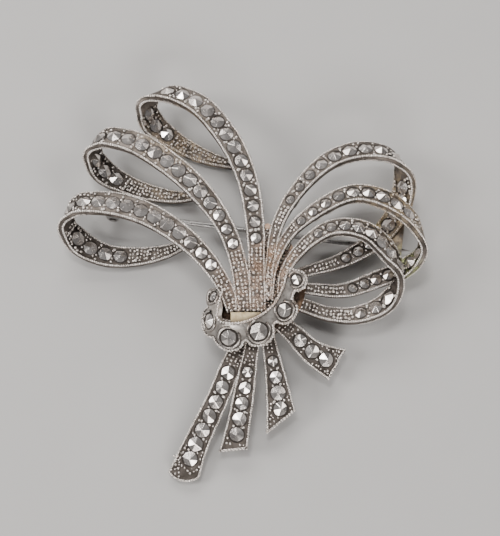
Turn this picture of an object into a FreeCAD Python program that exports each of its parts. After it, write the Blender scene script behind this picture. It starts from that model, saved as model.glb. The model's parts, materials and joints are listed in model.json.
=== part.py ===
"""Spray-ribbon brooch: cast silver ribbons set with rose-cut marcasites.

Millimetres. The brooch lies face up on its back, +Z up, +X to the wearer's
left side of the spray, +Y towards the top of the spray. The origin is the
bottom centre of its box.
"""
import FreeCAD, Part
import math
import os

V = FreeCAD.Vector

# --- driving dimensions -----------------------------------------------------
RIBBON_T = 0.9          # thickness of a cast ribbon
RAIL_STEPS = 4          # rail points between two stations of a ribbon
SEAT_DEPTH = 0.35       # depth of a stone seat below the ribbon's face
SEAT_GAP = 0.09         # air round a stone in its seat
GIRDLE_H = 0.40         # straight part of a stone, under its facets
CROWN_RATIO = 0.46      # height of the six-facet crown over the stone's radius
STONE_FIT = 0.66        # stone diameter over the local width of the ribbon
STONE_MIN = 1.35        # smallest stone
STONE_MAX = 2.15        # largest stone on a ribbon

PIN_Z = 1.40            # height of the pin stem's axis when closed
PIN_R = 0.40            # radius of the pin stem
PIN_SLOPE = -7.5        # direction of the stem in the XY plane, degrees
HINGE_X = -19.8         # rivet centre
HINGE_Y = 10.4
CATCH_AT = 43.6         # distance from the rivet to the middle of the catch
STEM_LEN = 46.0         # distance from the rivet to the stem's point
POINT_LEN = 3.6         # tapered end of the stem

RIVET_R = 0.35
KNUCKLE_R = 0.85
KNUCKLE_W = 1.00
RUN_GAP = 0.05          # running clearance of the rivet and the roller
SIDE_GAP = 0.10         # side clearance of the knuckle and the roller
EAR_T = 0.45
EAR_R = 0.88

# Stations of each ribbon, root first: x, y, z of the middle of the band,
# width, and roll in degrees. Roll 0 lies flat with the face up, 90 stands on
# edge at the bend, and 180 has turned over and shows the inner face.
LEFT_LOWER = [
    (-1.2, -5.7, 6.6, 1.8, 0), (-2.1, -3.2, 6.9, 2.0, 2), (-5.3, 1.8, 7.3, 2.6, 6),
    (-9.9, 6.1, 7.3, 3.2, 10), (-15.3, 9.2, 6.9, 3.6, 15), (-20.8, 10.6, 6.2, 3.8, 22),
    (-25.4, 10.2, 5.2, 3.9, 48), (-26.6, 7.8, 3.9, 3.8, 112), (-25.2, 5.9, 2.4, 3.9, 154),
    (-21.4, 3.9, 1.0, 3.5, 162), (-16.4, 3.6, 0.7, 2.8, 170), (-12.0, 4.3, 0.8, 2.0, 172),
    (-8.8, 5.5, 0.9, 1.2, 174)]
LEFT_MIDDLE = [
    (0.25, -5.7, 6.6, 2.2, 0), (-0.1, -1.0, 6.9, 2.3, 0), (-2.05, 5.8, 7.4, 2.4, 4),
    (-6.2, 12.0, 7.4, 3.2, 8), (-11.6, 17.0, 7.0, 3.5, 12), (-17.2, 20.4, 6.3, 3.7, 20),
    (-21.7, 20.9, 5.2, 3.7, 50), (-23.0, 19.2, 3.9, 3.8, 114), (-22.0, 17.3, 2.4, 3.9, 155),
    (-18.2, 15.1, 0.9, 3.2, 162), (-13.5, 13.6, 0.6, 2.3, 170), (-9.0, 13.1, 0.7, 1.5, 172),
    (-7.4, 13.3, 0.7, 1.2, 172)]
LEFT_UPPER = [
    (2.35, -5.7, 6.6, 2.2, 0), (2.2, 0.3, 7.0, 2.2, 0), (1.9, 7.4, 7.4, 2.5, 2),
    (0.6, 14.5, 7.4, 2.9, 6), (-2.8, 21.6, 7.0, 3.4, 12), (-7.5, 26.7, 6.3, 3.5, 22),
    (-12.4, 28.3, 5.2, 3.6, 52), (-14.9, 27.0, 3.9, 3.8, 114), (-14.4, 25.2, 2.4, 3.9, 155),
    (-10.9, 22.4, 0.9, 3.1, 162), (-6.6, 20.0, 0.6, 2.3, 170), (-2.8, 18.7, 0.7, 1.5, 172),
    (-1.0, 18.3, 0.7, 1.2, 172)]
RIGHT_UPPER = [
    (3.6, -3.9, 6.5, 1.2, 0), (4.2, 1.5, 6.9, 1.2, 5), (5.3, 6.9, 7.2, 1.6, 12),
    (9.1, 13.2, 7.2, 2.2, 20), (14.0, 17.5, 6.9, 3.0, 26), (19.1, 18.8, 6.4, 3.4, 34),
    (23.0, 17.8, 5.8, 3.8, 60), (24.6, 15.3, 4.8, 4.1, 110), (24.0, 10.8, 3.5, 3.4, 150),
    (21.2, 6.5, 3.3, 3.0, 164), (15.8, 2.8, 3.35, 2.2, 170), (8.4, 0.3, 3.7, 1.3, 175)]
RIGHT_MIDDLE = [
    (3.9, -4.1, 6.5, 1.2, 0), (4.5, 0.4, 6.9, 1.2, 5), (6.4, 4.7, 7.2, 1.4, 10),
    (11.7, 9.6, 7.3, 2.3, 20), (17.0, 11.9, 7.0, 2.9, 26), (22.3, 10.6, 6.5, 3.4, 34),
    (26.1, 7.0, 5.7, 3.6, 60), (26.9, 3.5, 4.8, 3.6, 100), (24.6, 1.3, 3.6, 2.8, 148),
    (20.4, -0.4, 3.0, 2.5, 168), (15.4, -2.1, 3.1, 2.0, 172), (8.4, -1.8, 3.8, 1.4, 175)]
RIGHT_LOWER = [
    (5.8, -3.2, 6.7, 1.1, 0), (6.1, -0.8, 6.9, 1.2, 5), (8.6, 3.2, 7.2, 1.7, 14),
    (13.8, 6.6, 7.2, 2.5, 24), (18.5, 6.0, 6.9, 3.1, 28), (21.9, 2.7, 6.4, 3.4, 40),
    (23.4, -0.5, 5.8, 3.6, 84), (21.7, -3.9, 4.4, 3.2, 138), (17.4, -5.9, 3.6, 2.6, 155),
    (13.1, -5.8, 3.4, 2.1, 162), (8.2, -4.1, 3.6, 1.9, 170)]

TAIL_1 = [
    (1.2, -8.0, 4.2, 2.2, 0), (-1.6, -13.6, 4.0, 2.9, 0), (-3.3, -17.7, 3.3, 3.0, 0),
    (-5.1, -21.4, 2.4, 3.2, 0), (-6.8, -24.9, 1.5, 3.6, 0), (-8.9, -30.4, 0.5, 4.6, 0)]
TAIL_2 = [
    (2.0, -8.0, 4.6, 1.8, 0), (1.2, -12.3, 4.5, 2.1, 0), (0.3, -17.7, 3.8, 2.8, 0),
    (-0.4, -21.6, 2.9, 3.1, 0), (-1.4, -26.6, 1.6, 4.0, 0)]
TAIL_3 = [
    (3.4, -7.8, 4.4, 1.8, 0), (4.4, -12.2, 4.1, 2.2, 0), (5.3, -17.2, 3.1, 3.3, 0),
    (6.2, -23.6, 1.5, 5.0, 0)]
TAIL_4 = [
    (4.6, -6.6, 4.4, 1.8, 0), (7.2, -8.5, 4.3, 2.6, 0), (10.4, -11.4, 3.3, 3.5, 0),
    (14.9, -13.5, 1.6, 5.4, 0)]
TAIL_END_R = 3.1        # rounded end of the longest tail

# Collar: a band that runs round the front of the roots like a flared cup.
COLLAR = [
    (-3.3, -2.6, 6.4, 2.2, 42), (-3.9, -4.9, 6.3, 2.7, 50), (-4.15, -7.0, 6.3, 3.0, 52),
    (-3.6, -8.4, 6.6, 3.3, 42), (-1.95, -9.1, 6.9, 3.4, 28), (2.1, -8.4, 7.0, 3.1, 16),
    (5.5, -5.8, 7.0, 2.7, 12), (7.0, -2.8, 7.0, 2.4, 10), (7.7, 0.2, 7.0, 2.2, 10)]
# Where the collar's scallops sit, as fractions of its length, and their stones.
SCALLOPS = [(0.05, 1.45), (0.20, 2.1), (0.355, 2.3), (0.535, 2.5), (0.735, 2.0), (0.94, 1.5)]
SCALLOP_OUT = 0.50      # from the collar's middle line to the middle of its stones
SCALLOP_RIM = 0.80      # metal round a collar stone
COLLAR_STEPS = 14       # rail points between two stations of the collar
COLLAR_WAIST = 0.50     # outer edge between two scallops, over the half width


# --- curves and bands -------------------------------------------------------
def station_curve(stations, steps):
    """Samples (x, y, z, width, roll) on a smooth curve through the stations."""
    n = len(stations)
    span = [math.dist(stations[i][:3], stations[i + 1][:3]) for i in range(n - 1)]

    def slope(i, k):
        if i == 0:
            return (stations[1][k] - stations[0][k]) / span[0]
        if i == n - 1:
            return (stations[-1][k] - stations[-2][k]) / span[-1]
        before = (stations[i][k] - stations[i - 1][k]) / span[i - 1]
        after = (stations[i + 1][k] - stations[i][k]) / span[i]
        return (before * span[i] + after * span[i - 1]) / (span[i - 1] + span[i])

    samples = []
    for i in range(n - 1):
        for j in range(steps):
            t = j / steps
            a = 2 * t**3 - 3 * t**2 + 1
            b = (t**3 - 2 * t**2 + t) * span[i]
            c = 3 * t**2 - 2 * t**3
            d = (t**3 - t**2) * span[i]
            samples.append([
                a * stations[i][k] + b * slope(i, k) + c * stations[i + 1][k] + d * slope(i + 1, k)
                for k in range(5)])
    samples.append(list(stations[-1]))
    return samples


def frames(stations, turn, steps=RAIL_STEPS):
    """Centre, width direction, face normal, half width and length run at each sample.

    turn is +1 where the band bends to its left and -1 where it bends to its right.
    """
    rows = station_curve(stations, steps)
    points = [V(*r[:3]) for r in rows]
    out = []
    run = 0.0
    for i, row in enumerate(rows):
        if i:
            run += points[i].distanceToPoint(points[i - 1])
        ahead = points[min(i + 1, len(points) - 1)]
        behind = points[max(i - 1, 0)]
        along = (ahead - behind).normalize()
        inward = V(0, 0, 1).cross(along).normalize() * turn
        up = along.cross(inward) * turn
        roll = math.radians(row[4])
        width = inward * math.cos(roll) + up * math.sin(roll)
        normal = up * math.cos(roll) - inward * math.sin(roll)
        out.append((points[i], width, normal, row[3] / 2, run))
    return out


def at_length(rows, where):
    """The band's frame at a fraction of its length."""
    target = where * rows[-1][4]
    i = 1
    while i < len(rows) - 1 and rows[i][4] < target:
        i += 1
    a, b = rows[i - 1], rows[i]
    t = (target - a[4]) / (b[4] - a[4])
    mix = [a[k] * (1 - t) + b[k] * t for k in range(4)]
    return mix[0], mix[1].normalize(), mix[2].normalize(), mix[3]


def band(rows, thickness=RIBBON_T):
    """Solid band: four ruled faces between its corner rails, and two flat ends."""
    half = thickness / 2
    signs = [(1, 1), (1, -1), (-1, -1), (-1, 1)]
    rails = []
    for across, through in signs:
        rail = Part.BSplineCurve()
        rail.interpolate([p + w * (h * across) + n * (half * through) for p, w, n, h, _ in rows])
        rails.append(rail.toShape())
    faces = []
    for k in range(4):
        faces.append(Part.makeRuledSurface(rails[k], rails[(k + 1) % 4], 1))
    for row in (rows[0], rows[-1]):
        p, w, n, h, _ = row
        corners = [p + w * (h * a) + n * (half * t) for a, t in signs]
        faces.append(Part.Face(Part.makePolygon(corners + corners[:1])))
    shell = Part.Shell(faces)
    shell.sewShape()
    solid = Part.Solid(shell)
    if solid.Volume < 0:
        solid.reverse()
    return solid


def trim(solid, point, outward, radius=0):
    """Cuts away what lies beyond a plane through point, or beyond a round end about it."""
    direction = V(*outward).normalize()
    block = Part.makeCylinder(12, 12, V(*point), direction)
    if radius:
        block = block.cut(Part.makeCylinder(radius, 24, V(*point) - V(0, 0, 12)))
    return solid.cut(block)


# --- stones -----------------------------------------------------------------
def stone(base, normal, across, diameter):
    """Rose-cut stone: a round girdle under a six-facet crown."""
    radius = diameter / 2
    crown = radius * CROWN_RATIO
    body = Part.makeCylinder(radius, GIRDLE_H + crown)
    foot = radius / math.cos(math.radians(30)) * 1.04
    ring = [V(foot * math.cos(math.radians(60 * k)), foot * math.sin(math.radians(60 * k)),
              GIRDLE_H) for k in range(6)]
    apex = V(0, 0, GIRDLE_H + crown)
    low = [V(p.x, p.y, -0.1) for p in ring]
    faces = [Part.Face(Part.makePolygon(low + low[:1]))]
    for k in range(6):
        a, b = ring[k], ring[(k + 1) % 6]
        faces.append(Part.Face(Part.makePolygon([a, b, apex, a])))
        faces.append(Part.Face(Part.makePolygon([low[k], low[(k + 1) % 6], b, a, low[k]])))
    shell = Part.Shell(faces)
    shell.sewShape()
    cut = body.common(Part.Solid(shell))
    cut.Placement = FreeCAD.Placement(base, FreeCAD.Rotation(across, V(0, 0, 0), normal, "ZXY"))
    return cut.Solids[0]


def seat(base, normal, diameter):
    """Round pocket that opens at the face."""
    return Part.makeCylinder(diameter / 2 + SEAT_GAP, 1.5, base, normal)


def stone_size(half_width):
    return max(STONE_MIN, min(STONE_MAX, 2 * half_width * STONE_FIT))


def row_of_stones(rows, start, end, count, side):
    """(base, normal, across, diameter) of stones spread from start to end.

    side is +1 on the outer face and -1 on the inner face, which shows on the return.
    """
    places = []
    for k in range(count):
        where = start if count == 1 else start + (end - start) * k / (count - 1)
        p, w, n, h = at_length(rows, where)
        out = n * side
        places.append((p + out * (RIBBON_T / 2 - SEAT_DEPTH), out, w, stone_size(h)))
    return places


# --- parts ------------------------------------------------------------------
def export(name, solids):
    shape = Part.makeCompound(solids) if len(solids) > 1 else solids[0]
    shape.exportStep(f"parts/{name}.step")


def set_band(name, solid, places):
    """Writes a band with its seats cut, and its stones."""
    seats = [seat(base, normal, size) for base, normal, _, size in places]
    export(name, [solid.cut(seats)])
    export(name + "_stones", [stone(*place) for place in places])


def loop(name, stations, turn, outer, inner):
    """A ribbon loop: outer and inner are (start, end, count) of its stones."""
    rows = frames(stations, turn)
    places = row_of_stones(rows, *outer, 1) + row_of_stones(rows, *inner, -1)
    set_band(name, band(rows), places)


def tail(name, stations, stones, end, end_radius=0):
    rows = frames(stations, 1)
    set_band(name, trim(band(rows), *end, end_radius), row_of_stones(rows, *stones, 1))


def collar():
    """The collar's inner rim is even, and its outer edge bulges round each stone."""
    rows = frames(COLLAR, 1, COLLAR_STEPS)
    places = []
    for where, size in SCALLOPS:
        p, w, n, h = at_length(rows, where)
        middle = p - w * SCALLOP_OUT
        places.append((middle + n * (RIBBON_T / 2 - SEAT_DEPTH), n, w, size))
    edged = []
    for p, w, n, h, run in rows:
        outer = h * COLLAR_WAIST
        for where, size in SCALLOPS:
            reach = size / 2 + SCALLOP_RIM
            off = run - where * rows[-1][4]
            if abs(off) < reach:
                outer = max(outer, SCALLOP_OUT + math.sqrt(reach**2 - off**2))
        edged.append((p + w * ((h - outer) / 2), w, n, (h + outer) / 2, run))
    set_band("collar", band(edged), places)


def slab(outline, bottom, height, rounding=0):
    """Flat plate with a smooth closed outline, rounded round its lower edge."""
    curve = Part.BSplineCurve()
    curve.interpolate(Points=[V(x, y, bottom) for x, y in outline], PeriodicFlag=True)
    plate = Part.Face(Part.Wire(curve.toShape())).extrude(V(0, 0, height))
    if rounding:
        low = [e for e in plate.Edges if e.BoundBox.ZMax < bottom + 0.01]
        plate = plate.makeFillet(rounding, low)
    return plate


def throat():
    """Fan-shaped web under the roots of the ribbons."""
    outline = [(-1.0, -7.2), (1.9, -7.3), (4.4, -5.9), (6.1, -3.4), (6.3, -1.2), (7.0, 1.4),
               (7.5, 4.0), (6.3, 5.0), (5.0, 5.2), (4.5, 6.8), (3.8, 7.5), (3.0, 6.6),
               (2.6, 3.4), (0.9, 1.9), (-0.7, 0.3), (-1.2, -3.0)]
    export("throat_plate", [slab(outline, 5.3, 1.1, 0.3)])
    export("solder_block", [Part.makeBox(4.4, 1.4, 1.9, V(-1.6, -7.5, 5.6))])


def hub():
    """Cast core that ties the collar, the tails and the ribbons' ends together."""
    outline = [(-3.9, -6.6), (-3.2, -8.9), (0.6, -9.6), (4.4, -9.0), (7.8, -6.4), (9.2, -3.6),
               (9.3, -0.6), (7.6, 1.0), (5.2, 0.2), (2.4, -1.6), (-0.8, -2.6), (-3.2, -3.6)]
    core = slab(outline, 3.2, 1.2, 0.6)
    upper = [V(-3.2, -8.9, 4.2), V(4.0, -9.0, 4.2), V(7.2, -6.0, 4.2), V(8.2, -3.4, 4.2),
             V(8.2, -0.4, 4.2), V(6.0, 0.6, 4.2), V(0.5, -3.4, 4.2), V(-1.6, -6.9, 4.2)]
    neck = Part.Face(Part.makePolygon(upper + upper[:1])).extrude(V(0, 0, 1.2))
    saddle = [V(-3.6, -8.4, 5.2), V(-2.6, -9.3, 5.2), V(0.4, -9.5, 5.2), V(3.4, -8.8, 5.2),
              V(5.8, -6.9, 5.2), V(7.8, -3.6, 5.2), V(8.2, -0.4, 5.2), V(7.4, -0.4, 5.2),
              V(6.6, -3.6, 5.2), V(5.0, -6.0, 5.2), V(3.0, -7.8, 5.2), V(0.0, -8.3, 5.2)]
    step = Part.Face(Part.makePolygon(saddle + saddle[:1])).extrude(V(0, 0, 1.4))
    export("hub", [core.fuse([neck, step]).removeSplitter()])


# --- pin hardware -----------------------------------------------------------
def stem_frame():
    a = math.radians(PIN_SLOPE)
    along = V(math.cos(a), math.sin(a), 0)
    side = V(-math.sin(a), math.cos(a), 0)
    return V(HINGE_X, HINGE_Y, PIN_Z), along, side


def placed(shape, origin, along, side):
    """Moves a shape whose X runs along the stem and Y runs along the rivet."""
    out = shape.copy()
    out.Placement = FreeCAD.Placement(origin, FreeCAD.Rotation(along, side, V(0, 0, 1), "XYZ"))
    return out


def across_cylinder(radius, width):
    """Cylinder on the Y axis, centred on the origin."""
    return Part.makeCylinder(radius, width, V(0, -width / 2, 0), V(0, 1, 0))


def along_cylinder(radius, start, length):
    return Part.makeCylinder(radius, length, V(start, 0, 0), V(1, 0, 0))


def pin_stem():
    knuckle = across_cylinder(KNUCKLE_R, KNUCKLE_W)
    shaft = along_cylinder(PIN_R, 0, STEM_LEN - POINT_LEN)
    point = Part.makeCone(PIN_R, 0.08, POINT_LEN, V(STEM_LEN - POINT_LEN, 0, 0), V(1, 0, 0))
    shape = knuckle.fuse([shaft, point])
    return shape.cut(across_cylinder(RIVET_R + RUN_GAP, KNUCKLE_W + 1)).removeSplitter()


def hinge():
    inner = KNUCKLE_W / 2 + SIDE_GAP
    outer = inner + EAR_T
    ears = []
    for y in (-outer, inner):
        disc = Part.makeCylinder(EAR_R, EAR_T, V(0, y, 0), V(0, 1, 0))
        web = Part.makeBox(2 * EAR_R, EAR_T, 1.35, V(-EAR_R, y, 0))
        ears.append(disc.fuse(web))
    yoke = Part.makeBox(2 * EAR_R, 2 * outer, 0.6, V(-EAR_R, -outer, 1.2))
    ears_shape = ears[0].fuse([ears[1], yoke]).cut(across_cylinder(RIVET_R, 2 * outer + 1))
    post = Part.makeCylinder(0.8, 3.2, V(0, 0, 1.8), V(0, 0, 1))
    rivet = across_cylinder(RIVET_R, 2 * outer)
    heads = [Part.makeCylinder(0.55, 0.2, V(0, outer, 0), V(0, 1, 0)),
             Part.makeCylinder(0.55, 0.2, V(0, -outer, 0), V(0, -1, 0))]
    return ears_shape.removeSplitter(), post, rivet.fuse(heads).removeSplitter()


ROLLER_BORE = 0.50
ROLLER_HUB = 0.80
ROLLER_R = 1.08
ROLLER_W = 0.70
HOUSING_R = 1.30
HOUSING_T = 0.40
MOUTH_W = 0.88
LEVER_R = 1.80
LEVER_REST = -35        # the lever's angle from the side of the catch, degrees


def mouth(width, length):
    """Slot from the axis downwards."""
    return Part.makeBox(length, width, 3, V(-length / 2, -width / 2, -3))


def roller():
    half = ROLLER_W / 2 + SIDE_GAP + HOUSING_T
    wheel = along_cylinder(ROLLER_R, -ROLLER_W / 2, ROLLER_W)
    journal = along_cylinder(ROLLER_HUB, -half, 2 * half)
    lever = Part.makeBox(ROLLER_W, LEVER_R - 0.8, 0.36, V(-ROLLER_W / 2, -LEVER_R, -0.18))
    knob = along_cylinder(0.26, -ROLLER_W / 2, ROLLER_W)
    knob.translate(V(0, -LEVER_R, 0))
    arm = lever.fuse(knob)
    arm.rotate(V(0, 0, 0), V(1, 0, 0), -LEVER_REST)
    shape = wheel.fuse([journal, arm])
    return shape.cut([along_cylinder(ROLLER_BORE, -2, 4), mouth(MOUTH_W, 4)]).removeSplitter()


def catch():
    plates = []
    for x in (ROLLER_W / 2 + SIDE_GAP, -ROLLER_W / 2 - SIDE_GAP - HOUSING_T):
        disc = along_cylinder(HOUSING_R, x, HOUSING_T)
        web = Part.makeBox(HOUSING_T, HOUSING_R * 1.4, 1.45, V(x, -HOUSING_R * 0.7, 0))
        plates.append(disc.fuse(web))
    length = ROLLER_W + 2 * SIDE_GAP + 2 * HOUSING_T
    roof = Part.makeBox(length, HOUSING_R * 1.4, 0.25, V(-length / 2, -HOUSING_R * 0.7, 1.2))
    shape = plates[0].fuse([plates[1], roof])
    slot = mouth(MOUTH_W, 4)
    return shape.cut([along_cylinder(ROLLER_HUB + RUN_GAP, -2, 4), slot]).removeSplitter()


def pin_hardware():
    origin, along, side = stem_frame()
    export("pin_stem", [placed(pin_stem(), origin, along, side)])
    ears, post, rivet = hinge()
    export("hinge_ears", [placed(ears, origin, along, side)])
    export("hinge_post", [placed(post, origin, along, side)])
    export("hinge_rivet", [placed(rivet, origin, along, side)])
    centre = origin + along * CATCH_AT
    export("catch_housing", [placed(catch(), centre, along, side)])
    export("catch_roller", [placed(roller(), centre, along, side)])
    strap = Part.makeBox(1.6, 7.7, 0.55, V(-0.8, -4.0, 1.45))
    export("catch_strap", [placed(strap, centre, along, side)])


os.makedirs("parts", exist_ok=True)
loop("left_lower_loop", LEFT_LOWER, 1, (0.135, 0.582, 12), (0.681, 0.816, 4))
loop("left_middle_loop", LEFT_MIDDLE, 1, (0.169, 0.642, 13), (0.707, 0.783, 3))
loop("left_upper_loop", LEFT_UPPER, 1, (0.173, 0.641, 13), (0.73, 0.805, 3))
loop("right_upper_loop", RIGHT_UPPER, -1, (0.247, 0.558, 9), (0.636, 0.876, 8))
loop("right_middle_loop", RIGHT_MIDDLE, -1, (0.226, 0.539, 9), (0.655, 0.855, 7))
loop("right_lower_loop", RIGHT_LOWER, -1, (0.239, 0.555, 8), (0.675, 0.782, 3))
tail("tail_1", TAIL_1, (0.29, 0.843, 7), ((-8.1, -27.0, 1.0), (0.3, -1, 0)), TAIL_END_R)
tail("tail_2", TAIL_2, (0.34, 0.82, 5), ((-1.2, -25.6, 1.6), (0.1, -1, 0)))
tail("tail_3", TAIL_3, (0.313, 0.744, 4), ((5.9, -21.4, 1.6), (0.62, -0.78, 0)))
tail("tail_4", TAIL_4, (0.39, 0.77, 3), ((14.1, -13.0, 1.6), (0.86, -0.5, 0)))
collar()
throat()
hub()
pin_hardware()
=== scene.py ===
"""Looks of the marcasite spray brooch, built round its CAD frame. Metres.

A band is a loop, a tail or the collar. The sharp edges of a band give the rails that its
milgrain beads follow, and its CAD stones give the places of the faceted ones.
"""
import json
import math
import random

import bmesh
import bpy
import numpy as np
from mathutils import Matrix, Vector
from mathutils.bvhtree import BVHTree


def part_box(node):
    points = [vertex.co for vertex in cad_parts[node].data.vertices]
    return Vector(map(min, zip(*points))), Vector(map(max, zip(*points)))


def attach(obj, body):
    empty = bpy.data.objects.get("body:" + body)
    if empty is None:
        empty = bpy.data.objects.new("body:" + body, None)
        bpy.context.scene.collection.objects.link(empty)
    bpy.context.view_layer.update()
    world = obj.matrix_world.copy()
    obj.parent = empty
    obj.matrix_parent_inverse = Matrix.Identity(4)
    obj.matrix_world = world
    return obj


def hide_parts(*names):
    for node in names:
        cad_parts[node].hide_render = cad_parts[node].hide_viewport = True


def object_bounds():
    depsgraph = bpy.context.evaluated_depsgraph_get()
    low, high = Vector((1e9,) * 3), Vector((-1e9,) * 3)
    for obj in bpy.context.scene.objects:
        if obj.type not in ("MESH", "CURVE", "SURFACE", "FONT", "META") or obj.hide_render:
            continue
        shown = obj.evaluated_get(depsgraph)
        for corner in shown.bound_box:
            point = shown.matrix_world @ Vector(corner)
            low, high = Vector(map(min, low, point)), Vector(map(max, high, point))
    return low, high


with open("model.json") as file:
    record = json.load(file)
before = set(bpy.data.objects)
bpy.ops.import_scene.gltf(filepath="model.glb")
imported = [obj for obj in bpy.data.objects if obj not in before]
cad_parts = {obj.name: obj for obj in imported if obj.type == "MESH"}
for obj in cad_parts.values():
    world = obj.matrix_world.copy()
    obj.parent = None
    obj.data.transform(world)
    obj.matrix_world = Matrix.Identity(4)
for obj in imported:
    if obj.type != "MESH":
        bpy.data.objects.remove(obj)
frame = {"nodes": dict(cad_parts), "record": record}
cad_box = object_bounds()
NODES = frame["nodes"]
ROOT = "brooch"
MM = 0.001
random.seed(7)

# --- sizes --------------------------------------------------------------------
THROAT = np.array((3.5, -2.0, 6.5)) * MM     # where the roots of the loops meet
FACE_UP = 0.30               # a face that looks up more than this carries stones and grains

# rails
CREASE = math.radians(45)    # an edge sharper than this is a crease
WELD = 0.002 * MM
SHORTEST_RUN = 0.5 * MM      # creases shorter than this aren't rails
RAIL_TURN = 0.8 / MM         # nor are those that turn faster than this: they are seats
JOIN_GAP = 0.8 * MM          # two runs of one rail may end this far apart
JOIN_ALONG = 0.8             # and the cosine between their headings is at least this
JOIN_LOOK = 5                # edges over which a run's heading is taken
SAMPLES = 420                # places at which a band's four rails are matched
FINE = 4                     # how many times finer a rail is cut before it is matched
MATCH_REACH = 0.06           # how far off its own fraction a rail's place may match
CORNER_REACH = 0.4 * MM      # corners within this of a bead say which way it faces

# milgrain
MILGRAIN_R = 0.20 * MM
MILGRAIN_PITCH = 0.34 * MM
MILGRAIN_SIZES = (0.92, 1.06)
MILGRAIN_IN = 0.05 * MM      # from a band's corner to the middle of its beads
LEAST_BEADS = 4              # a row with fewer beads than this is left plain
RIM_R = 0.80                 # ridge under the beads, over their radius
RIM_IN = 0.08 * MM
RIM_UP = -0.45               # a corner that looks further down than this stays plain
RIM_SHORT = 6.0 * MM         # shorter edges are a band's ends
RIDGE_LIFT = 0.62            # how high on a bead a ridge counts as standing, for its painted shade and grime
END_SHORT = 2.5 * MM         # a tail's ends have beads too, down to this length
END_BEAD_R = 0.25 * MM       # beads across the end of a tail and round the collar
END_PITCH = 0.42 * MM

# grains that fill a stretch with no stones
GRAIN_R = 0.25 * MM
GRAIN_PITCH = 0.54 * MM
GRAIN_SPREAD = 1.1           # rows across a band may open to this many pitches
GRAIN_MARGIN = 0.52 * MM     # from the band's edge to the outermost grain
GRAIN_JITTER = 0.070 * MM
GRAIN_SIZES = (0.76, 1.12)
TAIL_GRAIN = 0.72            # size of a tail's grains over the loops'
STONE_CLEAR = 0.40 * MM      # from a stone's edge to the nearest filling grain

# grains that hold the stones
CLAW_R = 0.19 * MM
CLAW_SIZES = (0.9, 1.15)
CLAW_OUT = (0.58, 0.70)      # from the row's middle line, over the smaller stone's radius
CLAW_GAP = 1.75              # stones further apart than this, over their radii, have none
CLAW_BEND = 0.2              # nor do stones whose normals' cosine is under this

# grains on the throat plate
PLATE_PITCH = 0.50 * MM
PLATE_JITTER = 0.05 * MM
PLATE_SIZES = (0.8, 1.15)

# ridges round the collar's stones
BEZEL_R = 0.17 * MM
BEZEL_OUT = 0.40 * MM        # from a stone's edge to the middle of its ridge
BEZEL_TURN = math.radians(300)
BEZEL_STEPS = 40
BEZEL_SIDES = 10

# stones
GEM_SIDES = 28
GEM_FACETS = 6
GEM_GIRDLE = 0.40            # girdle height over the stone's whole height
GEM_TILT = math.radians(2.5)     # how far a stone leans in its seat
GEM_UNEVEN = 0.05            # how far its point strays, over its radius, and its facets turn
GEM_SLOPES = (0.92, 1.04)    # a facet's run over the radius
GEM_EDGE = 0.04              # worn edge between two facets, over the radius
GEM_RIDGE = math.radians(6)  # facets that meet at less than this share no worn edge
FLAT = 0.02 * MM             # points this near the plane of a stone's base are part of it

# seats, which show as a dark ring round each stone: painted shade in the seat's gap, with its
# oxide
SEAT_FLOOR = 0.35 * MM       # from a seat's floor to the band's face
SEAT_LIFT = 0.012 * MM       # the ring stands this far off the band's face
SEAT_IN = 0.93               # its inner radius over the stone's
SEAT_OUT = 0.17 * MM         # how far it passes the stone
SEAT_SIDES = 24

# worn edges of the plain CAD pieces
SOFT_EDGE = 0.05 * MM
SOLDER_EDGE = 0.35 * MM

# stage
CAMERA_TILT = math.radians(12)
CAMERA_AIM = Vector((1.2, 1.2, 4.0)) * MM
CAMERA_AWAY = 150 * MM
CAMERA_NEAR = 10 * MM
CAMERA_LENS = 72             # in millimetres, as is the sensor
CAMERA_SENSOR = 36
FLOOR_SIZE = 1.2


# --- materials ------------------------------------------------------------------
def texture_point(nodes):
    return nodes.new("ShaderNodeTexCoord").outputs["Object"]


def noise(tree, scale, detail=4.0, rough=0.6):
    """Noise whose patches are about 1 / scale metres across."""
    node = tree.nodes.new("ShaderNodeTexNoise")
    node.inputs["Scale"].default_value = scale
    node.inputs["Detail"].default_value = detail
    node.inputs["Roughness"].default_value = rough
    tree.links.new(texture_point(tree.nodes), node.inputs["Vector"])
    return node.outputs["Fac"]


def remap(tree, value, low, high, out_low, out_high):
    node = tree.nodes.new("ShaderNodeMapRange")
    node.inputs["From Min"].default_value = low
    node.inputs["From Max"].default_value = high
    node.inputs["To Min"].default_value = out_low
    node.inputs["To Max"].default_value = out_high
    tree.links.new(value, node.inputs["Value"])
    return node.outputs["Result"]


def product(tree, a, b):
    node = tree.nodes.new("ShaderNodeMath")
    node.operation = "MULTIPLY"
    tree.links.new(a, node.inputs[0])
    tree.links.new(b, node.inputs[1])
    return node.outputs[0]


def near(tree, centre, inner, outer):
    """1 within inner of a point, falling to 0 at outer."""
    node = tree.nodes.new("ShaderNodeVectorMath")
    node.operation = "DISTANCE"
    node.inputs[1].default_value = centre
    tree.links.new(texture_point(tree.nodes), node.inputs[0])
    return remap(tree, node.outputs["Value"], inner, outer, 1.0, 0.0)


def blend_colour(tree, factor, a, b):
    """a and b are colours or colour outputs."""
    node = tree.nodes.new("ShaderNodeMix")
    node.data_type = "RGBA"
    tree.links.new(factor, node.inputs["Factor"])
    for name, value in (("A", a), ("B", b)):
        socket = next(s for s in node.inputs if s.name == name and s.type == "RGBA")
        if isinstance(value, tuple):
            socket.default_value = (*value, 1.0)
        else:
            tree.links.new(value, socket)
    return next(s for s in node.outputs if s.type == "RGBA")


def bump(tree, height, strength, distance, base=None):
    node = tree.nodes.new("ShaderNodeBump")
    node.inputs["Strength"].default_value = strength
    node.inputs["Distance"].default_value = distance
    tree.links.new(height, node.inputs["Height"])
    if base is not None:
        tree.links.new(base, node.inputs["Normal"])
    return node.outputs["Normal"]


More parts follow.
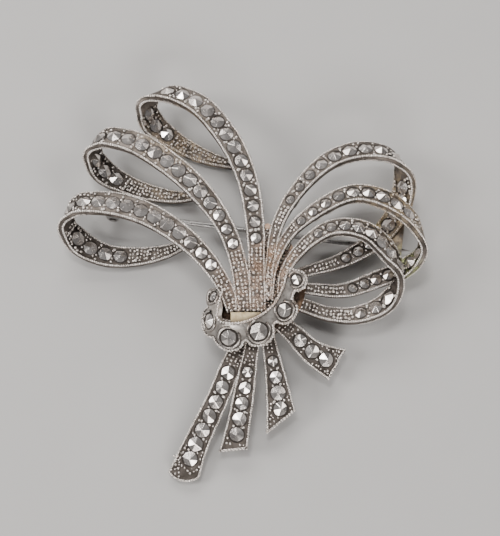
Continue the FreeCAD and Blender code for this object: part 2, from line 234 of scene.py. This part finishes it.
def start_material(name, metallic):
    material = bpy.data.materials.new(name)
    material.use_nodes = True
    tree = material.node_tree
    shader = tree.nodes["Principled BSDF"]
    shader.inputs["Metallic"].default_value = metallic
    return material, tree, shader


def painted_recess_shade(tree):
    """Painted shade and grime from ambient occlusion: 1 deep in recesses, falling to 0 in the
    open.
    """
    node = tree.nodes.new("ShaderNodeAmbientOcclusion")
    node.samples = 6
    node.inputs["Distance"].default_value = RECESS_REACH
    return remap(tree, node.outputs["AO"], 0.55, 1.0, 1.0, 0.0)


def painted_foot_shade(tree):
    """Painted shade and grime near the base of a bead: 1 there, falling to 0 at its top."""
    node = tree.nodes.new("ShaderNodeAttribute")
    node.attribute_name = "lift"
    return remap(tree, node.outputs["Fac"], 0.42, 0.80, 1.0, 0.0)


def vary_roughness(tree, shader, scale, low, high):
    """Roughness that wanders between two values in patches."""
    tree.links.new(remap(tree, noise(tree, scale), 0.3, 0.7, low, high),
                   shader.inputs["Roughness"])


def metal(name, bright, dull, rough, grain, stains_and_shadows=(), pitted=0.5, beads=False):
    """Worn metal, with painted shade and grime darkening its recesses, or its beads' feet.

    grain is the scale of the casting's skin, and stains_and_shadows a list of (centre, inner,
    outer, colour), whose tint is full within inner of its centre and gone at outer: real
    staining, and painted shadows where a gap lies in shade.
    """
    material, tree, shader = start_material(name, METALLIC)
    wear = remap(tree, noise(tree, 700), 0.40, 0.64, 0.0, 1.0)
    colour = blend_colour(tree, wear, bright, dull)
    shade_and_grime_colour = SHADE_AND_GRIME
    # tints: real stains, and painted shadows where a gap lies in shade
    for centre, inner, outer, tint in stains_and_shadows:
        spots = remap(tree, noise(tree, 1100, 6.0), 0.34, 0.62, 0.0, 1.0)
        mask = product(tree, near(tree, centre, inner, outer), spots)
        colour = blend_colour(tree, product(tree, mask, spots), colour, tint)
        shade_and_grime_colour = blend_colour(tree, mask, shade_and_grime_colour, tuple(STAINED_SHADE_AND_GRIME * c for c in tint))
    # painted shade and grime: darker deep in recesses, or near the base of a bead
    shade_and_grime_mask = painted_foot_shade(tree) if beads else painted_recess_shade(tree)
    colour = blend_colour(tree, shade_and_grime_mask, colour, shade_and_grime_colour)
    tree.links.new(colour, shader.inputs["Base Color"])
    vary_roughness(tree, shader, 1800, rough - 0.08, rough + 0.14)
    cast = bump(tree, noise(tree, grain, 5.0), pitted, 0.06 * MM)
    tree.links.new(bump(tree, noise(tree, grain * 4), pitted * 0.6, 0.015 * MM, cast),
                   shader.inputs["Normal"])
    return material


def stone_material():
    """Polished marcasite, duller in patches."""
    material, tree, shader = start_material("marcasite", 0.85)
    tone = remap(tree, noise(tree, 420, 2.0), 0.35, 0.65, 0.0, 1.0)
    tree.links.new(blend_colour(tree, tone, (0.92, 0.865, 0.825), (0.62, 0.57, 0.535)),
                   shader.inputs["Base Color"])
    vary_roughness(tree, shader, 1300, 0.12, 0.28)
    tree.links.new(bump(tree, noise(tree, 2600, 3.0), 0.25, 0.012 * MM),
                   shader.inputs["Normal"])
    return material


def seat_shade_material():
    """Near-black painted shade in the gap round a stone, with the oxide there."""
    material, tree, shader = start_material("seat_shade_and_oxide", 0.3)
    tree.links.new(blend_colour(tree, noise(tree, 2000), (0.020, 0.017, 0.015),
                                (0.055, 0.042, 0.034)), shader.inputs["Base Color"])
    vary_roughness(tree, shader, 2500, 0.55, 0.8)
    tree.links.new(bump(tree, noise(tree, 5000), 0.5, 0.02 * MM), shader.inputs["Normal"])
    return material


def floor_material():
    material, tree, shader = start_material("floor", 0.0)
    tree.links.new(blend_colour(tree, noise(tree, 60), (0.56, 0.55, 0.54), (0.60, 0.59, 0.58)),
                   shader.inputs["Base Color"])
    shader.inputs["Roughness"].default_value = 0.9
    return material


def patch(x, y, z, inner, outer, colour):
    """A tint round a place in the frame, in millimetres: real staining, or a painted shadow.
    """
    return Vector((x, y, z)) * MM, inner * MM, outer * MM, colour


METALLIC = 0.86              # tarnish takes the rest
# colour of the painted shade and grime in recesses and at beads' feet
SHADE_AND_GRIME = (0.075, 0.062, 0.055)
STAINED_SHADE_AND_GRIME = 0.45          # painted shade and grime under a tint, over the tint's colour
RECESS_REACH = 0.7 * MM
STAINS = [
    patch(2.8, -2.5, 6.8, 3.0, 8.5, (0.60, 0.45, 0.36)),        # copper over the throat
    patch(4.5, 1.5, 6.5, 0.8, 4.5, (0.43, 0.28, 0.19)),         # brown between the roots
    patch(22.8, 10.0, 3.4, 3.0, 8.0, (0.68, 0.54, 0.37)),       # right-hand returns
    patch(20.0, 6.8, 3.6, 0.9, 2.8, (0.62, 0.50, 0.22)),        # yellow by the catch
    patch(25.0, 2.2, 3.6, 1.1, 3.2, (0.55, 0.60, 0.26)),        # green by the right middle tip
    patch(-10.0, 20.0, 1.5, 3.0, 9.0, (0.70, 0.56, 0.41)),      # left upper return
]
PAINTED_GAP_SHADOW = [patch(-2.6, -5.2, 4.4, 1.6, 3.0, (0.03, 0.025, 0.02))]  # painted shadow in the gap left of the solder
SILVER = metal("cast_silver", (0.21, 0.182, 0.162), (0.095, 0.08, 0.068), 0.48, 2600, STAINS)
COLLAR = metal("collar_silver", (0.72, 0.67, 0.62), (0.44, 0.395, 0.355), 0.32, 2600)
WEB = metal("copper_web", (0.64, 0.45, 0.33), (0.36, 0.235, 0.16), 0.42, 2000, PAINTED_GAP_SHADOW)
MILGRAIN = metal("milgrain_silver", (0.93, 0.875, 0.825), (0.73, 0.665, 0.61), 0.23, 4000,
                 STAINS, 0.3, True)
PATINA = metal("patina_brass", (0.25, 0.165, 0.11), (0.12, 0.075, 0.05), 0.50, 2400, PAINTED_GAP_SHADOW)
SOLDER = metal("solder", (0.72, 0.60, 0.38), (0.44, 0.33, 0.19), 0.42, 1500)
STEEL = metal("pin_steel", (0.50, 0.49, 0.48), (0.26, 0.245, 0.235), 0.30, 3000, (), 0.25)
MARCASITE = stone_material()
SEAT_SHADE_AND_OXIDE = seat_shade_material()
SLOT_MATERIALS = {"cast_silver": SILVER, "patina_brass": PATINA, "solder": SOLDER,
                  "pin_steel": STEEL, "marcasite": MARCASITE}
NODE_MATERIALS = {"collar": COLLAR, "throat_plate": WEB}


# --- pieces ---------------------------------------------------------------------
def piece(name, verts, faces, material, smooth=True, lift=None):
    """A mesh of the brooch. lift says how high each vertex stands on its bead, from 0 to 1,
    which sets the painted shade and grime near the bead's base.
    """
    mesh = bpy.data.meshes.new(name)
    mesh.from_pydata([tuple(v) for v in verts], [], [tuple(f) for f in faces])
    mesh.update()
    if lift is not None:
        mesh.attributes.new("lift", "FLOAT", "POINT").data.foreach_set("value", lift)
    mesh.polygons.foreach_set("use_smooth", [smooth] * len(mesh.polygons))
    mesh.materials.append(material)
    obj = bpy.data.objects.new(name, mesh)
    bpy.context.collection.objects.link(obj)
    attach(obj, ROOT)
    return obj


def ball_template():
    """Vertices and triangles of a ball of radius 1."""
    bm = bmesh.new()
    bmesh.ops.create_icosphere(bm, subdivisions=2, radius=1.0)
    verts = np.array([v.co[:] for v in bm.verts])
    faces = np.array([[v.index for v in f.verts] for f in bm.faces])
    bm.free()
    return verts, faces


BALL = ball_template()
TUBE_ASIDE = (0.3, 0.2, 0.93)    # a direction that no ridge runs along


def balls(beads):
    """Vertices, faces and lift of balls given as (centre, outward, radius)."""
    verts, faces = BALL
    centres = np.array([b[0] for b in beads]).reshape(-1, 1, 3)
    outward = np.array([b[1] for b in beads]).reshape(-1, 3)
    radii = np.array([b[2] for b in beads]).reshape(-1, 1, 1)
    all_verts = (verts[None] * radii + centres).reshape(-1, 3)
    starts = np.arange(len(centres))[:, None, None] * len(verts)
    lift = 0.5 + 0.5 * (outward @ verts.T).reshape(-1)
    return all_verts, (faces[None] + starts).reshape(-1, faces.shape[1]), lift


def tube(path, radius, sides=6):
    """Vertices, faces and lift of a round bar along a path."""
    path = np.array(path)
    along = np.gradient(path, axis=0)
    along /= np.linalg.norm(along, axis=1)[:, None]
    first = np.cross(along, TUBE_ASIDE)
    first /= np.linalg.norm(first, axis=1)[:, None]
    second = np.cross(along, first)
    rings = []
    for k in range(sides):
        a = 2 * math.pi * k / sides
        rings.append(path + radius * (math.cos(a) * first + math.sin(a) * second))
    verts = np.stack(rings, 1).reshape(-1, 3)
    faces = []
    for i in range(len(path) - 1):
        for k in range(sides):
            a, b = i * sides + k, i * sides + (k + 1) % sides
            faces.append((a, b, b + sides, a + sides))
    return verts, faces, np.full(len(verts), RIDGE_LIFT)


# --- rails of a band --------------------------------------------------------------
def welded(node):
    """A node's mesh with its loose triangles joined."""
    bm = bmesh.new()
    bm.from_mesh(NODES[node].data)
    bmesh.ops.remove_doubles(bm, verts=bm.verts, dist=WELD)
    return bm


def creases(bm):
    return [e for e in bm.edges if len(e.link_faces) == 2 and e.calc_face_angle(0) > CREASE]


def crease_chains(bm):
    """Open runs of sharp edges, split where three of them meet."""
    links = {}
    for e in creases(bm):
        for v in e.verts:
            links.setdefault(v, []).append(e)
    runs, used = [], set()
    for start in [v for v, edges in links.items() if len(edges) != 2]:
        for edge in links[start]:
            if edge in used:
                continue
            run, v = [start.co.copy()], start
            while edge is not None:
                used.add(edge)
                v = edge.other_vert(v)
                run.append(v.co.copy())
                onward = [e for e in links[v] if e not in used]
                edge = onward[0] if len(links[v]) == 2 and onward else None
            runs.append(run)
    return runs


def corners(bm):
    """(place, the sum of its two faces' normals) of every sharp edge."""
    sharp = creases(bm)
    places = np.array([((e.verts[0].co + e.verts[1].co) / 2)[:] for e in sharp])
    outward = np.array([(e.link_faces[0].normal + e.link_faces[1].normal)[:] for e in sharp])
    return places, outward


def length(run):
    return sum((run[i + 1] - run[i]).length for i in range(len(run) - 1))


def turning(run):
    """How fast a run turns, in radians over a metre."""
    steps = [run[i + 1] - run[i] for i in range(len(run) - 1)]
    return sum(a.angle(b, 0) for a, b in zip(steps, steps[1:])) / length(run)


def going_on(run, runs):
    """One of runs that goes on from run's end, as (itself, its points in that order)."""
    heading = (run[-1] - run[max(-1 - JOIN_LOOK, -len(run))]).normalized()
    found = None
    for other in runs:
        for way in (other, other[::-1]):
            gap = way[0] - run[-1]
            onward = (way[min(JOIN_LOOK, len(way) - 1)] - way[0]).normalized()
            if gap.length < JOIN_GAP and heading @ onward > JOIN_ALONG:
                found = (other, way)
    return found


def joined_runs(runs):
    """The runs that can be rails, with those that go on from one another made one."""
    runs = [r for r in runs if length(r) > SHORTEST_RUN and turning(r) < RAIL_TURN]
    runs.sort(key=length, reverse=True)
    out = []
    while runs:
        run = runs.pop(0)
        for _ in range(2):
            run.reverse()
            found = going_on(run, runs)
            while found:
                runs.remove(found[0])
                run.extend(found[1])
                found = going_on(run, runs)
        out.append(run)
    return out


def distances(line):
    """How far along a line each of its points is."""
    return np.r_[0, np.cumsum(np.linalg.norm(np.diff(line, axis=0), axis=1))]


def resample(run, count):
    """A number of points at even distances along a run."""
    points = np.array([p[:] for p in run])
    steps = distances(points)
    at = np.linspace(0, steps[-1], count)
    return np.stack([np.interp(at, steps, points[:, k]) for k in range(3)], 1)


def unit(a):
    return a / (np.linalg.norm(a, axis=-1, keepdims=True) + 1e-12)


class Band:
    """A band's four rails, matched place by place, and the stones that it carries.

    front holds the two rails of the face with the first stones, back the other two.
    """

    def __init__(self, node):
        self.node = node
        self.stones = stone_places(node + "_stones")
        bm = welded(node)
        self.runs = sorted(joined_runs(crease_chains(bm)), key=length)
        self.corners = corners(bm)
        bm.free()
        # The four longest runs are the rails. Each is turned to start where the first does.
        rails = [resample(run, SAMPLES * FINE) for run in self.runs[-4:]]
        for i, rail in enumerate(rails):
            anchor = THROAT if i == 0 else rails[0][0]
            if np.linalg.norm(rail[-1] - anchor) < np.linalg.norm(rail[0] - anchor):
                rails[i] = rail[::-1]
        first = rails[0][::FINE]
        matched = [first] + [self.match(first, rail) for rail in rails[1:]]
        # The two that stand highest over the stone nearest the start are the front ones.
        lead = min(self.stones, key=lambda s: np.linalg.norm(s[0] - first[0]))
        matched.sort(key=lambda rail: self.height(rail, lead), reverse=True)
        self.front = matched[:2]
        self.back = sorted(matched[2:], key=lambda rail: np.linalg.norm(rail - self.front[0]))
        self.up = unit(sum(self.front) - sum(self.back))
        self.across = unit(self.front[1] - self.front[0])

    @staticmethod
    def match(first, rail):
        """The nearest place on a rail to each place of the first, near the same fraction."""
        out = []
        reach = int(len(rail) * MATCH_REACH)
        for i, p in enumerate(first):
            middle = int(i * len(rail) / len(first))
            low = max(0, middle - reach)
            window = rail[low:middle + reach + 1]
            out.append(window[np.argmin(np.linalg.norm(window - p, axis=1))])
        return np.array(out)

    @staticmethod
    def height(rail, stone):
        """How high a rail stands over a stone's base."""
        centre, normal = stone[:2]
        nearest = rail[np.argmin(np.linalg.norm(rail - centre, axis=1))]
        return float(np.dot(nearest - centre, normal))

    def faces(self):
        """(rails, normal) of the two wide faces."""
        yield self.front, self.up
        yield self.back, -self.up


def walk(line, normals, sides, pitch):
    """(point, normal, sideways) every pitch along a line, where its face looks up."""
    steps = distances(line)
    for t in np.interp(np.arange(0, steps[-1], pitch), steps, np.arange(len(line))):
        i = int(t)
        j = min(i + 1, len(line) - 1)
        if normals[i][2] > FACE_UP:
            yield line[i] * (1 - (t - i)) + line[j] * (t - i), normals[i], sides[i]


def outward_at(band, points):
    """How the corners round each point face."""
    places, outward = band.corners
    out = []
    for p in points:
        away = np.linalg.norm(places - p, axis=1)
        weight = np.exp(-(away / CORNER_REACH) ** 2) + (away <= away.min())
        out.append((weight[:, None] * outward).sum(0) / weight.sum())
    return np.array(out)


def shown_parts(line, outward):
    """The stretches of a line whose corner doesn't look down."""
    part = []
    for p, o in zip(line, outward):
        if o[2] > RIM_UP:
            part.append((p, o))
        elif part:
            yield part
            part = []
    if part:
        yield part


def milgrain(band):
    """Beads, and the ridges under them, on every corner that doesn't look down."""
    beads, ridges = [], []
    shortest = END_SHORT if band.node.startswith("tail") else RIM_SHORT
    for run in band.runs:
        if length(run) < shortest:
            continue
        coarse = length(run) < RIM_SHORT or band.node == "collar"
        pitch, radius = (END_PITCH, END_BEAD_R) if coarse else (MILGRAIN_PITCH, MILGRAIN_R)
        line = resample(run, max(2, int(length(run) / pitch)))
        for part in shown_parts(line, outward_at(band, line)):
            if len(part) < LEAST_BEADS:
                continue
            beads += [(p - o * MILGRAIN_IN, unit(o), radius * random.uniform(*MILGRAIN_SIZES))
                      for p, o in part]
            ridges.append(tube([p - o * RIM_IN for p, o in part], radius * RIM_R))
    return beads, ridges


def fill_grains(band):
    """Rows of grains where a face that looks up has no stones."""
    spots = np.array([s[0] for s in band.stones])
    reach = np.array([s[2] for s in band.stones]) + STONE_CLEAR
    beads = []
    size = GRAIN_R * (TAIL_GRAIN if band.node.startswith("tail") else 1)
    for rails, normals in band.faces():
        middle = (rails[0] + rails[1]) / 2
        for p, n, a in walk(middle, normals, band.across, GRAIN_PITCH):
            i = int(np.argmin(np.linalg.norm(middle - p, axis=1)))
            usable = np.linalg.norm(rails[1][i] - rails[0][i]) - 2 * GRAIN_MARGIN
            if usable < 0:
                continue
            count = int(usable / GRAIN_PITCH) + 1
            step = min(GRAIN_PITCH * GRAIN_SPREAD, usable / max(count - 1, 1))
            for k in range(count):
                q = p + a * (k - (count - 1) / 2) * step
                if (np.linalg.norm(spots - q, axis=1) > reach).all():
                    jitter = np.array([random.gauss(0, GRAIN_JITTER) for _ in range(3)])
                    beads.append((q + jitter, n, size * random.uniform(*GRAIN_SIZES)))
    return beads


def claws(band):
    """Grains that hold each stone, in the gaps between it and its neighbours in the row."""
    beads = []
    for (a, normal, radius, _), (b, other, size, _) in zip(band.stones, band.stones[1:]):
        if np.linalg.norm(b - a) > CLAW_GAP * (radius + size) or normal @ other < CLAW_BEND:
            continue
        up = unit(normal + other)
        side = unit(np.cross(up, b - a))
        face = (a + b) / 2 + up * SEAT_FLOOR
        for sign in (1, -1):
            spot = face + side * sign * random.uniform(*CLAW_OUT) * min(radius, size)
            beads.append((spot, up, CLAW_R * random.uniform(*CLAW_SIZES)))
    return beads


def bezels(band):
    """A raised ridge round each of the collar's stones, open towards the throat."""
    ridges = []
    for centre, normal, radius, _ in band.stones:
        root = THROAT - centre
        inward = unit(root - (root @ normal) * normal)
        side = np.cross(normal, inward)
        line = []
        for k in range(BEZEL_STEPS + 1):
            a = math.pi + BEZEL_TURN * (k / BEZEL_STEPS - 0.5)
            line.append(centre + normal * SEAT_FLOOR
                        + (radius + BEZEL_OUT) * (math.cos(a) * inward + math.sin(a) * side))
        ridges.append(tube(line, BEZEL_R, BEZEL_SIDES))
    return ridges


def ray_tree(node):
    bm = welded(node)
    tree = BVHTree.FromBMesh(bm)
    bm.free()
    return tree


def plate_grains():
    """Grains on the part of the throat plate that nothing covers."""
    own = ray_tree("throat_plate")
    covers = [ray_tree(node) for node in NODES
              if node.endswith("_loop") or node in ("collar", "solder_block")]
    low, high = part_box("throat_plate")
    beads = []
    rows = int((high[1] - low[1]) / PLATE_PITCH)
    columns = int((high[0] - low[0]) / PLATE_PITCH)
    down = Vector((0, 0, -1))
    for i in range(rows):
        for j in range(columns):
            start = Vector((low[0] + (j + 0.5 * (i % 2)) * PLATE_PITCH,
                            low[1] + i * PLATE_PITCH, cad_box[1][2] + MM))
            start.x += random.gauss(0, PLATE_JITTER)
            start.y += random.gauss(0, PLATE_JITTER)
            hit = own.ray_cast(start, down)[0]
            if hit is None or any(tree.ray_cast(start, down, (start - hit).length)[0]
                                  for tree in covers):
                continue
            beads.append((np.array(hit), -np.array(down),
                          GRAIN_R * random.uniform(*PLATE_SIZES)))
    verts, faces, lift = balls(beads)
    piece("throat_grains", verts, faces, MILGRAIN, lift=lift)


# --- stones ---------------------------------------------------------------------
def islands(bm):
    """The vertices of each solid of a mesh."""
    seen = set()
    for start in bm.verts:
        if start in seen:
            continue
        group, queue = [], [start]
        seen.add(start)
        while queue:
            v = queue.pop()
            group.append(v)
            for e in v.link_edges:
                w = e.other_vert(v)
                if w not in seen:
                    seen.add(w)
                    queue.append(w)
        yield group


def stone_places(node):
    """(base centre, normal, radius, height) of every stone of a node, in order."""
    bm = welded(node)
    out = []
    for group in islands(bm):
        areas = {}
        for f in dict.fromkeys(f for v in group for f in v.link_faces):
            key = tuple(round(c, 2) for c in f.normal)
            areas[key] = areas.get(key, 0) + f.calc_area()
        down = Vector(max(areas, key=areas.get)).normalized()
        low = max(v.co @ down for v in group)
        base = [v.co for v in group if low - v.co @ down < FLAT]
        centre = sum(base, Vector()) / len(base)
        radius = max((p - centre).length for p in base)
        height = low - min(v.co @ down for v in group)
        out.append((np.array(centre), -np.array(down), radius, height))
    bm.free()
    return in_order(out)


def in_order(stones):
    """Stones sorted along their row, which starts at the throat."""
    left = sorted(stones, key=lambda s: np.linalg.norm(s[0] - THROAT))
    row = [left.pop(0)]
    while left:
        left.sort(key=lambda s: np.linalg.norm(s[0] - row[-1][0]))
        row.append(left.pop(0))
    return row


def gem(radius, height):
    """Rose-cut stone on its base: a round girdle under six uneven facets."""
    bm = bmesh.new()
    bmesh.ops.create_cone(bm, cap_ends=True, segments=GEM_SIDES, radius1=radius,
                          radius2=radius, depth=height)
    bmesh.ops.translate(bm, verts=bm.verts, vec=(0, 0, height / 2))
    girdle = height * GEM_GIRDLE
    step = 2 * math.pi / GEM_FACETS
    turn = random.uniform(0, step)
    stray = GEM_UNEVEN * radius
    apex = Vector((random.gauss(0, stray), random.gauss(0, stray), height))
    for k in range(GEM_FACETS):
        a = turn + k * step + random.gauss(0, GEM_UNEVEN)
        slope = math.atan2(height - girdle, radius * random.uniform(*GEM_SLOPES))
        normal = Vector((math.cos(a) * math.sin(slope), math.sin(a) * math.sin(slope),
                         math.cos(slope)))
        cut = bmesh.ops.bisect_plane(bm, geom=bm.verts[:] + bm.edges[:] + bm.faces[:],
                                     plane_co=apex, plane_no=normal, clear_outer=True)
        rim = [e for e in cut["geom_cut"] if isinstance(e, bmesh.types.BMEdge)]
        bmesh.ops.holes_fill(bm, edges=rim, sides=0)
    ridges = [e for e in bm.edges if len(e.link_faces) == 2
              and all(f.normal.z > FACE_UP for f in e.link_faces)
              and e.calc_face_angle(0) > GEM_RIDGE]
    bmesh.ops.bevel(bm, geom=ridges, offset=radius * GEM_EDGE, segments=1, affect="EDGES")
    bm.verts.index_update()
    verts = [v.co.copy() for v in bm.verts]
    faces = [[v.index for v in f.verts] for f in bm.faces]
    bm.free()
    return verts, faces


def standing(normal):
    """Rotation that stands +Z up along a normal."""
    return Vector((0, 0, 1)).rotation_difference(Vector(normal)).to_matrix()


def set_stones(band):
    """A faceted stone in place of each CAD stone."""
    verts, faces = [], []
    for centre, normal, radius, height in band.stones:
        lean = Matrix.Rotation(random.gauss(0, GEM_TILT), 3, "X")
        lean = lean @ Matrix.Rotation(random.gauss(0, GEM_TILT), 3, "Y")
        turn = standing(normal) @ lean
        shape = gem(radius, height)
        start = len(verts)
        verts += [turn @ v + Vector(centre) for v in shape[0]]
        faces += [[i + start for i in f] for f in shape[1]]
    obj = piece(band.node + "_gems", verts, faces, MARCASITE, smooth=False)
    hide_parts(band.node + "_stones")


def seat_rings(band):
    """A near-black ring round each stone, that paints the shade in its seat's gap along with
    the oxide there.
    """
    verts, faces = [], []
    for centre, normal, radius, _ in band.stones:
        turn = standing(normal)
        at = Vector(centre + normal * (SEAT_FLOOR + SEAT_LIFT))
        start = len(verts)
        for k in range(SEAT_SIDES):
            a = 2 * math.pi * k / SEAT_SIDES
            for r in (radius * SEAT_IN, radius + SEAT_OUT):
                verts.append(turn @ Vector((r * math.cos(a), r * math.sin(a), 0)) + at)
            i, j = start + 2 * k, start + 2 * ((k + 1) % SEAT_SIDES)
            faces.append((i, i + 1, j + 1, j))
    piece(band.node + "_seats", verts, faces, SEAT_SHADE_AND_OXIDE)


# --- the brooch -------------------------------------------------------------------
def joined(parts):
    """One list of vertices, faces and lift from several."""
    faces, start = [], 0
    for verts, part_faces, _ in parts:
        faces += [tuple(int(i) + start for i in face) for face in part_faces]
        start += len(verts)
    return np.concatenate([p[0] for p in parts]), faces, np.concatenate([p[2] for p in parts])


def dress(node):
    """Everything that a band carries. Only the collar has ridges instead of filling grains."""
    band = Band(node)
    beads, ridges = milgrain(band)
    if node == "collar":
        ridges += bezels(band)
    else:
        verts, faces, lift = balls(fill_grains(band) + claws(band))
        piece(node + "_grains", verts, faces, MILGRAIN, lift=lift)
    verts, faces, lift = joined([balls(beads)] + ridges)
    piece(node + "_milgrain", verts, faces, MILGRAIN, lift=lift)
    set_stones(band)
    seat_rings(band)


def paint_frame():
    for sub in frame["record"]["subparts"]:
        node, slot = sub["node"], sub["material_slot"]
        mesh = NODES[node].data
        mesh.materials.clear()
        mesh.materials.append(NODE_MATERIALS.get(node, SLOT_MATERIALS[slot]))


def soften(node, width):
    """Rounds a CAD piece's sharp edges."""
    modifier = NODES[node].modifiers.new("edge", "BEVEL")
    modifier.width = width
    modifier.segments = 2
    modifier.limit_method = "ANGLE"


# --- stage ------------------------------------------------------------------------
def floor():
    bpy.ops.mesh.primitive_plane_add(size=FLOOR_SIZE, location=(0, 0, cad_box[0].z))
    plane = bpy.context.object
    plane.name = "floor"
    plane.data.materials.append(floor_material())


def lamp(name, place, size, power, colour):
    """A soft lamp that faces the brooch."""
    data = bpy.data.lights.new(name, "AREA")
    data.shape = "RECTANGLE"
    data.size, data.size_y = size
    data.energy = power
    data.color = colour
    light = bpy.data.objects.new(name, data)
    light.location = place
    light.rotation_euler = (-Vector(place)).to_track_quat("-Z", "Y").to_euler()
    bpy.context.collection.objects.link(light)


def lights():
    world = bpy.data.worlds.new("studio")
    world.use_nodes = True
    background = world.node_tree.nodes["Background"]
    background.inputs["Color"].default_value = (0.52, 0.54, 0.58, 1)
    background.inputs["Strength"].default_value = 0.17
    bpy.context.scene.world = world
    lamp("window", (-0.12, 0.48, 0.34), (0.46, 0.22), 2.3, (1.0, 0.98, 0.95))
    lamp("above", (-0.08, 0.20, 0.60), (0.14, 0.12), 1.2, (1.0, 0.98, 0.96))
    lamp("left", (-0.45, 0.02, 0.30), (0.20, 0.18), 1.5, (1.0, 0.98, 0.96))
    lamp("right", (0.50, 0.10, 0.26), (0.20, 0.25), 0.8, (1.0, 0.96, 0.92))
    lamp("front", (0.05, -0.45, 0.26), (0.38, 0.15), 1.9, (1.0, 0.97, 0.94))


def camera():
    data = bpy.data.cameras.new("camera")
    data.lens = CAMERA_LENS
    data.sensor_fit = "HORIZONTAL"
    data.sensor_width = CAMERA_SENSOR
    data.clip_start = CAMERA_NEAR
    cam = bpy.data.objects.new("camera", data)
    back = Vector((0, -math.sin(CAMERA_TILT), math.cos(CAMERA_TILT)))
    cam.location = CAMERA_AIM + back * CAMERA_AWAY
    cam.rotation_euler = (CAMERA_TILT, 0, 0)
    bpy.context.collection.objects.link(cam)
    bpy.context.scene.camera = cam


paint_frame()
for name in sorted(n.removesuffix("_stones") for n in NODES if n.endswith("_stones")):
    dress(name)
plate_grains()
for name in ("hinge_ears", "hinge_post", "hinge_rivet", "catch_housing", "catch_strap",
             "catch_roller", "throat_plate", "hub"):
    soften(name, SOFT_EDGE)
soften("solder_block", SOLDER_EDGE)
floor()
lights()
camera()
